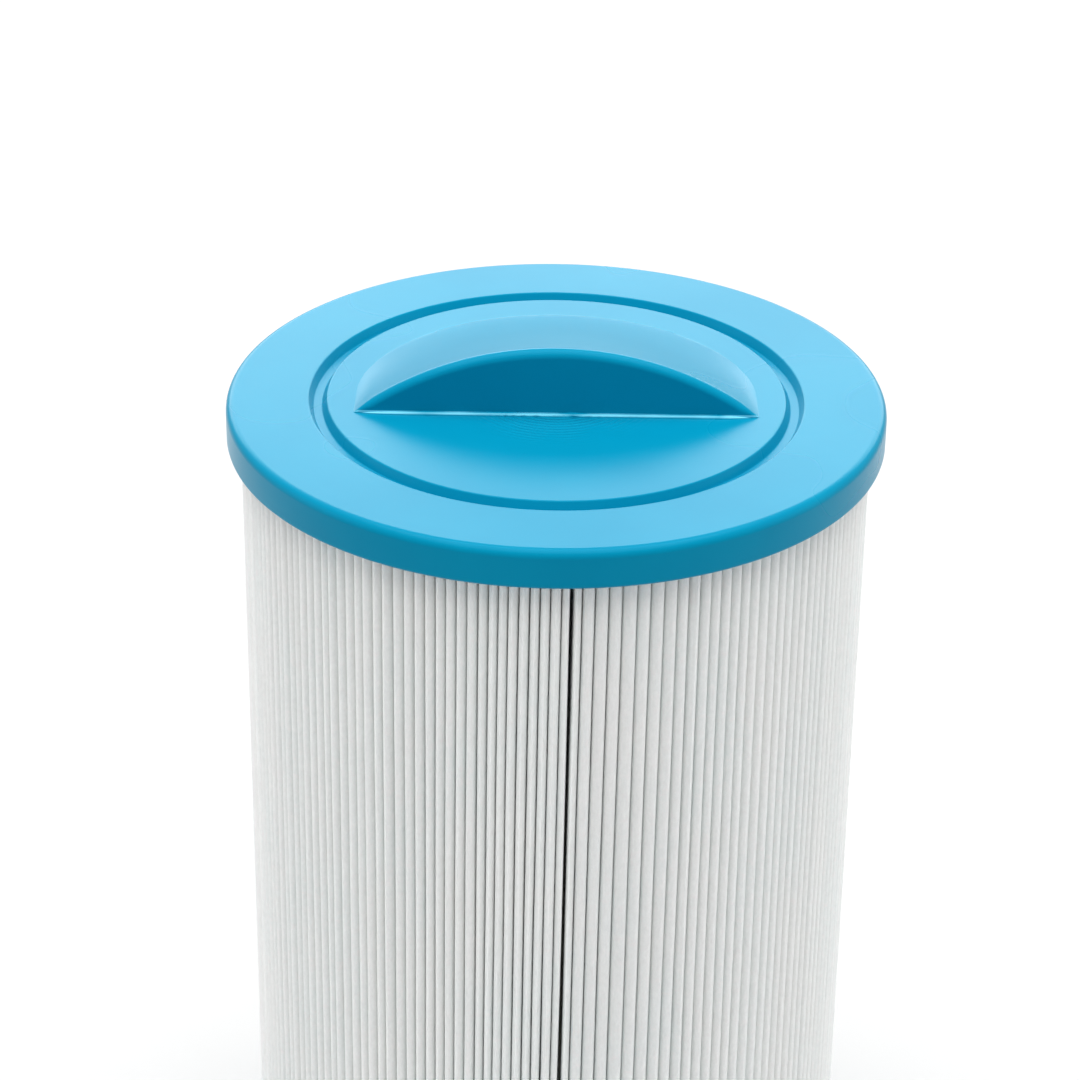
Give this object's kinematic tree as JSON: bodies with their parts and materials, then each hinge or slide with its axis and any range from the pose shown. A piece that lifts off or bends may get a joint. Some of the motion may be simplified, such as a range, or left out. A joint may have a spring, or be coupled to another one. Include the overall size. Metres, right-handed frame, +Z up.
{
  "type": "filter cartridge",
  "caption": "Screw-in pleated filter cartridge for pools and spas, with cast end caps, a half-moon grip on top and a coarse male thread below.",
  "frame": {"origin": "middle of the threaded adaptor's lower end, the lowest point of the cartridge as it stands", "axes": "+Z up along the cartridge's axis to the top end cap; -Y is the side that the grip's flat face looks to"},
  "size_m": [0.1524, 0.1524, 0.2763],
  "materials": {
    "blue_cap": "satin cast polyurethane",
    "white_media": "spunbonded polyester felt",
    "white_plastic": "moulded, fine satin",
    "seam_glue": "hot-melt bead"
  },
  "bodies": {
    "root": {"top_end_cap": "blue_cap", "bottom_end_cap": "blue_cap", "pleated_media_1": "white_media", "pleated_media_2": "white_media", "pleated_media_3": "white_media", "pleated_media_4": "white_media", "pleated_media_5": "white_media", "pleated_media_6": "white_media", "pleated_media_7": "white_media", "pleated_media_8": "white_media", "seam_bead": "seam_glue", "core_section_1": "white_plastic", "core_section_2": "white_plastic", "core_section_3": "white_plastic", "core_section_4": "white_plastic", "thread_adaptor": "white_plastic"}
  },
  "joints": []
}
